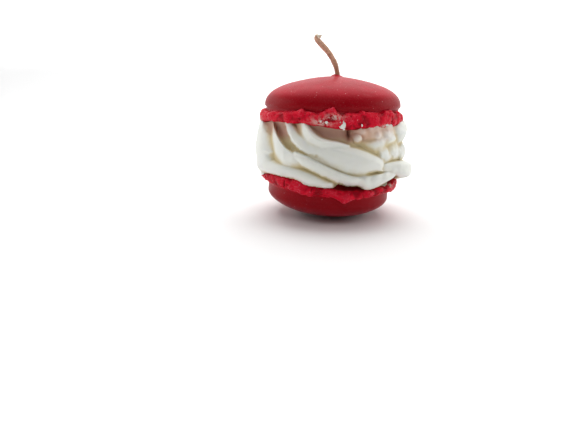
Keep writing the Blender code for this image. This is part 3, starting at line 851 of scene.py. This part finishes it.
def fillingTints(angle, height, radius, levelStep):
    # Painted shade of the valleys and the red stain with its painted shade, each 0 to 1: by depth in from the
    # outside, by how far the side faces down, and by depth below the smoothed side round each point
    soft = radius
    for _ in range(14):
        soft = 0.25 * (np.roll(soft, 4, 1) + np.roll(soft, -4, 1)) + 0.25 * (
            np.concatenate([soft[3:], soft[-3:]]) + np.concatenate([soft[:3], soft[:-3]]))
    facingDown = np.clip(np.gradient(soft, axis=0) / levelStep, 0, 1)
    # painted shade: by depth in from the outside, by facing down, and by depth below the smoothed side
    paintedShade = hollowTint(height, radius, tints["shallow"]) + hollowTint(height, radius, tints["deep"])
    paintedShade += tints["facingDown"] * facingDown + (soft - radius) / tints["valleyDepth"]
    share, limits = tints["veil"]
    # stain with painted shade: deep under the upper shell and over the broken mass
    stainAndShade = hollowTint(height, radius, tints["stainAndShade"]) + share * zone(angle, height, limits)
    return {"paintedShade": np.clip(paintedShade, 0, 1), "stainAndShade": stainAndShade}


def fillingPiece(material):
    # Rows of the unrolled side from the lower seat to the upper one, held between the shells' inner faces,
    # then closed by rows that run in to the axis
    around = filling["around"]
    level = np.linspace(filling["low"], filling["high"], filling["rows"])
    angle, height = np.meshgrid(np.arange(around) * 360 / around - 180, level)
    radius = fillingRadius(angle, height)
    for _ in range(4):  # what a shell covers takes the radius at that shell's face, drawn in a little
        x, y, z = sidePlace(angle, height, radius)
        held = heldBetween(x, y, z)
        beyond = np.abs(z - held)
        radius = fillingRadius(angle, height + held - z) - 1.2 * np.maximum(beyond - 0.1, 0)
    uneven = layeredNoise(np.stack([x, y, held], -1), filling["uneven"], 91)
    radius = radius + uneven * (beyond < 0.02)
    x, y, z = sidePlace(angle, height, radius)
    spots = np.stack([x, y, heldBetween(x, y, z)], -1)
    values = fillingTints(angle, spots[..., 2], radius, level[1] - level[0])
    ends = []
    for row, share in ((0, 0.3), (0, 0.65), (-1, 0.65), (-1, 0.3)):
        x, y = share * spots[row, :, 0], share * spots[row, :, 1]
        ends.append(np.stack([x, y, innerFace(x, y, lowerShell) + contact if row == 0
                              else innerFace(x, y, upperShell) - contact], -1))
    grid = np.concatenate([ends[:2], spots, ends[2:]])
    axis = np.zeros(1)
    first = (0, 0, float(innerFace(axis, axis, lowerShell)[0]) + contact)
    last = (0, 0, float(innerFace(axis, axis, upperShell)[0]) - contact)
    pad = np.zeros((2, around))
    values = {key: np.concatenate([pad, numbers, pad]) for key, numbers in values.items()}
    return closedSkin("piped_filling", grid, first, last, material, values)


# Wick

wick = {
    "radius": 0.98,
    "foot": 1.9,  # where it leaves the shell
    # points of its bow in the XZ plane
    "bow": (
        (1.9, 47.2), (1.8, 51.5), (1.5, 53.3), (1.05, 55.0), (0.25, 56.7), (-0.8, 58.45), (-2.1, 60.15),
        (-3.76, 61.85), (-5.4, 63.5), (-6.03, 64.35), (-5.95, 64.95), (-5.3, 65.2),
    ),
    "wobble": 0.12,  # to the front and back
    "narrowing": (0.10, (0.28, 0.20)),  # of the radius, from the shell up to a share of its length
    "taper": (0.22, (0.965, 1.0)),  # of the radius, at the tip
    "darkFoot": (0.55, (0.36, 0.24)),
    "paleTip": (0.90, 0.95),
    "plies": 3,
    "yarns": 23,
    "turns": 5.5,
    "steps": 260,
    "sides": 72,
    "fibres": 40,
    "fibreRadius": 0.15,
    "seed": 5,
}

wickFinish = {
    "light": (0.64, 0.38, 0.25),
    "dark": (0.34, 0.16, 0.09),
    "tip": (0.80, 0.74, 0.60),
    "shader": {"Roughness": 0.62, "Sheen Weight": 0.15},
}


def waxedCotton(name, finish):
    # Waxed cord: painted shade in the grooves between its plies and thin yarns and darker towards the shell,
    # by the piece's ply attribute, paler towards the frayed tip
    made, tree, shader, coords = newMaterial(name)
    slow = noiseNode(tree, coords, 900.0, 3.0, 0.6)
    fine = noiseNode(tree, coords, 5200.0, 3.0, 0.6)
    # painted shade between the plies, with a slow random change
    ply = combine(tree, "MULTIPLY", attributeNode(tree, "ply"), ramp(tree, slow, 0.35, 0.65, 0.45, 1.15))
    colour = mixColour(tree, ply, finish["dark"], finish["light"])
    colour = mixColour(tree, attributeNode(tree, "tip"), colour, finish["tip"])
    tree.links.new(colour, shader.inputs["Base Color"])
    tree.links.new(bump(tree, fine, 0.00008, 0.6), shader.inputs["Normal"])
    setInputs(shader, finish["shader"])
    return made


def strands(phase, base, ply, yarn):
    # base + ply * |cos| with one swell for each ply + yarn * cos with one for each thin yarn
    return base + ply * np.abs(np.cos(0.5 * wick["plies"] * phase)) + yarn * np.cos(wick["yarns"] * phase)


def tube(route, radius, sides, twist, section):
    # Rings round a route: a ring's radius is radius * section(angle - twist * travelled)
    along = np.gradient(route, axis=0)
    along /= np.linalg.norm(along, axis=1, keepdims=True)
    across = np.cross(along, (0.0, 1.0, 0.0))
    across /= np.linalg.norm(across, axis=1, keepdims=True)
    upright = np.cross(across, along)
    spin = np.arange(sides) * 2 * math.pi / sides
    phase = spin[None, :] - twist * lengthAlong(route)[:, None]
    size = radius[:, None] * section(phase)
    points = (route[:, None] + across[:, None] * (size * np.cos(spin))[..., None]
              + upright[:, None] * (size * np.sin(spin))[..., None])
    return points, phase


def wickPiece(material):
    # A twisted cord through the points of its bow, with loose fibres at its end
    flat = throughPoints(wick["bow"], wick["steps"])
    route = np.stack([flat[:, 0], wick["wobble"] * np.sin(0.9 * flat[:, 1]), flat[:, 1]], -1)
    share = np.linspace(0, 1, wick["steps"])
    (narrowing, low), (taper, high) = wick["narrowing"], wick["taper"]
    radius = wick["radius"] * (1 - narrowing * smoothStep(*low, share) - taper * smoothStep(*high, share))
    radius *= 1 + 0.08 * softNoise(np.stack([share * 22, 0 * share, 0 * share], -1), 1.3, 31)
    twist = 2 * math.pi * wick["turns"] / lengthAlong(route)[-1]
    grid, phase = tube(route, radius, wick["sides"], twist, lambda phase: strands(phase, 0.975, 0.035, 0.012))
    dark, limits = wick["darkFoot"]
    # painted shade in the grooves between the plies and yarns, and darker towards the shell
    ply = np.clip(strands(phase, 0.60, 0.26, 0.12), 0, 1) * (1 - dark * smoothStep(*limits, share)[:, None])
    tip = smoothStep(*wick["paleTip"], share)[:, None] + 0 * phase
    points = np.concatenate([grid.reshape(-1, 3), route[:1], route[-1:]])
    faces = skinFaces(*grid.shape[:2])
    ply = np.concatenate([ply.reshape(-1), [0, 1]])
    tip = np.concatenate([tip.reshape(-1), [0, 1]])
    draws = np.random.default_rng(wick["seed"])
    s = np.linspace(0, 1, 9)[:, None]
    for _ in range(wick["fibres"]):
        begin = route[-1] + draws.uniform(-0.45, 0.45, 3)
        aim = np.array([draws.uniform(-0.1, 1.1), draws.uniform(-0.5, 0.5), draws.uniform(-0.15, 0.55)])
        reach = draws.uniform(0.5, 1.25)
        bend = np.array([draws.uniform(-0.3, 0.3), draws.uniform(-0.4, 0.4), draws.uniform(-0.45, 0.1)])
        line = begin + aim * reach * s + bend * s * s
        thin = wick["fibreRadius"] * (1 - 0.6 * s[:, 0])
        rings, _ = tube(line, thin, 6, 0.0, lambda phase: 1 + 0 * phase)
        faces += skinFaces(*rings.shape[:2], len(points))
        added = np.concatenate([rings.reshape(-1, 3), line[:1], line[-1:]])
        points = np.concatenate([points, added])
        ply = np.append(ply, np.full(len(added), 0.9))
        tip = np.append(tip, np.full(len(added), 0.85))
    return writeMesh("cotton_wick", points, faces, material, {"ply": ply, "tip": tip})


# Flakes of white wax on the upper foot

flakes = {
    # angle, height, half-width, half-height, thickness
    "spots": (
        (8.3, 36.0, 1.15, 1.45, 0.35), (-2.5, 36.6, 0.55, 0.45, 0.25), (-6.5, 36.9, 0.45, 0.35, 0.22),
        (15.6, 36.6, 0.22, 0.55, 0.18), (23, 35.6, 0.28, 0.50, 0.20), (46, 35.3, 0.75, 0.28, 0.22),
        (9.6, 34.5, 0.40, 0.35, 0.25), (-9.5, 37.6, 0.30, 0.30, 0.2), (33, 37.4, 0.2, 0.25, 0.15),
        (121, 36.2, 0.7, 0.5, 0.25), (168, 36.8, 0.5, 0.6, 0.25), (214, 36.0, 0.6, 0.4, 0.2),
    ),
    "radius": 26.35,
    "centre": -0.4,
    "noise": ((0.20, 0.7), (0.10, 0.3)),
    "sides": 28,
    "rings": 14,
}


def flakePiece(material):
    # Squashed balls with a noisy outline, half sunk in the foot
    sides, rings = flakes["sides"], flakes["rings"]
    points, faces = np.zeros((0, 3)), []
    upward = np.linspace(-0.5 * math.pi, 0.5 * math.pi, rings + 2)[1:-1]
    turn, rise = np.meshgrid(np.arange(sides) * 2 * math.pi / sides, upward)
    ball = np.stack([np.cos(rise) * np.cos(turn), np.cos(rise) * np.sin(turn), np.sin(rise)], -1)
    ball = np.concatenate([ball.reshape(-1, 3), [[0, 0, -1.0], [0, 0, 1.0]]])
    for index, (angle, height, wide, tall, thick) in enumerate(flakes["spots"]):
        out, side = ringSpots(np.array([angle, angle + 90.0]), 1, 0)
        axes = np.array([wide * side, thick * out, (0, 0, tall)])
        local = ball * (1 + layeredNoise(ball + 5 * index, flakes["noise"], 41))[:, None]
        placed = local @ axes + out * flakes["radius"] + (flakes["centre"], 0, height)
        faces += skinFaces(rings, sides, len(points))
        points = np.concatenate([points, placed])
    zeros = np.zeros(len(points))
    return writeMesh("wax_flakes", points, faces, material, {"paintedShade": zeros, "stainAndShade": zeros})


# Stage, light and camera

stage = {
    "side": 1100.0,
    "back": 420.0,  # where the floor starts to bend up
    "bend": 250.0,
    "height": 900.0,
    "colour": (0.86, 0.86, 0.86, 1),
    "wallGlow": 0.95,  # the wall's own light
    "floorGlow": 0.60,  # the floor's, well away from the object
    "floorSteps": 76,
    "bendSteps": 20,
    "columns": 111,
}


def floorAndBackdrop():
    # A floor that bends up into a lit wall behind the object, with its own light given by an attribute
    turn = np.linspace(0, 0.5 * math.pi, stage["bendSteps"])[1:]
    flat, bend = stage["floorSteps"], stage["bend"]
    along = np.concatenate([np.linspace(-stage["side"], stage["back"], flat),
                            stage["back"] + bend * np.sin(turn), [stage["back"] + bend]])
    height = np.concatenate([np.zeros(flat), bend * (1 - np.cos(turn)), [stage["height"]]])
    x = np.linspace(-stage["side"], stage["side"], stage["columns"])
    points = np.stack([x + 0 * along[:, None], along[:, None] + 0 * x, height[:, None] + 0 * x], -1)
    outward = stage["floorGlow"] * smoothStep(70, 260, np.hypot(points[..., 0], points[..., 1]))
    glow = np.maximum(outward, stage["wallGlow"] * smoothStep(0, 140, points[..., 2]))
    rows, sides = points.shape[:2]
    start = (np.arange(rows - 1)[:, None] * sides + np.arange(sides - 1)).reshape(-1)
    faces = np.stack([start, start + 1, start + sides + 1, start + sides], -1).tolist()
    material, tree, shader, _ = newMaterial("pale_floor")
    setInputs(shader, {"Base Color": stage["colour"], "Roughness": 0.9, "Specular IOR Level": 0.1,
                       "Emission Color": (1, 1, 1, 1)})
    tree.links.new(attributeNode(tree, "glow"), shader.inputs["Emission Strength"])
    writeMesh("floor", points.reshape(-1, 3), faces, material, {"glow": glow.reshape(-1)})


studio = {
    # panels of light: name, place and aim in mm, width and height in mm, watts
    "panels": (
        ("overhead", (0, 120, 420), (0, 0, 40), 560, 460, 2.35),
        ("left", (-400, 40, 170), (0, 0, 30), 300, 240, 0.58),
        ("right", (400, 40, 170), (0, 0, 30), 300, 240, 0.66),
        ("front", (-40, -330, 400), (0, 0, 30), 320, 240, 0.42),
    ),
    "ambient": 0.05,
    "beyond": 0.95,  # what the camera sees past the floor
}


def lights():
    # Panels turned to their aims by yaw and pitch, and a pale world that is dimmer for light than for the eye
    for name, place, aim, wide, tall, watts in studio["panels"]:
        data = bpy.data.lights.new(name, "AREA")
        data.shape = "RECTANGLE"
        data.size, data.size_y = wide * mm, tall * mm
        data.energy = watts
        lamp = bpy.data.objects.new(name, data)
        bpy.context.scene.collection.objects.link(lamp)
        lamp.location = np.array(place) * mm
        x, y, z = np.array(aim) - np.array(place)
        pitch, yaw = math.atan2(z, math.hypot(x, y)), math.atan2(y, x)
        lamp.rotation_euler = (0.5 * math.pi + pitch, 0, yaw - 0.5 * math.pi)
    world = bpy.data.worlds.new("studio")
    world.use_nodes = True
    tree = world.node_tree
    seen = tree.nodes.new("ShaderNodeLightPath").outputs["Is Camera Ray"]
    strength = ramp(tree, seen, 0, 1, studio["ambient"], studio["beyond"])
    setInputs(tree.nodes["Background"], {"Color": (1, 1, 1, 1)})
    tree.links.new(strength, tree.nodes["Background"].inputs["Strength"])
    bpy.context.scene.world = world
    bpy.context.scene.view_settings.view_transform = "Standard"


view = {"distance": 168.4, "height": 46.6, "down": 16.29, "left": 5.54, "sensor": 36, "focal": 433 / 577 * 36}


def camera():
    # In front of the candle, turned down and to the left by the view's degrees
    data = bpy.data.cameras.new("camera")
    data.sensor_width = view["sensor"]
    data.lens = view["focal"]
    data.clip_start = 0.005
    made = bpy.data.objects.new("camera", data)
    bpy.context.scene.collection.objects.link(made)
    made.location = (0, -view["distance"] * mm, view["height"] * mm)
    made.rotation_euler = (math.radians(90 - view["down"]), 0, math.radians(view["left"]))
    bpy.context.scene.camera = made


# Build

camera()
lights()
floorAndBackdrop()
print("stage, lights and camera are in place")

red = redWax("red_wax", redFinish)
# the red wax made darker for the lower shell: painted shade on the candle's underside
shadedRed = redWax("dark_red_wax", dict(redFinish, deep=(0.24, 0.0008, 0.009), plain=(0.31, 0.0012, 0.013)))
white = whiteWax("white_wax", whiteFinish)
cotton = waxedCotton("waxed_cotton", wickFinish)

top = shell("upper_shell", upperShell, red, poleShift=wick["foot"], lip=waxLip)
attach(top, "root")
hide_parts("top_shell")
bottom = shell("lower_shell", lowerShell, shadedRed)
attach(bottom, "root")
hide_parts("bottom_shell")
print("both shells are made")

middle = fillingPiece(white)
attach(middle, "root")
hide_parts("filling")
print("the filling is made")

cord = wickPiece(cotton)
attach(cord, "root")
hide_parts("wick")
crumbs = flakePiece(white)
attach(crumbs, "root")
print("the wick and the flakes are made")
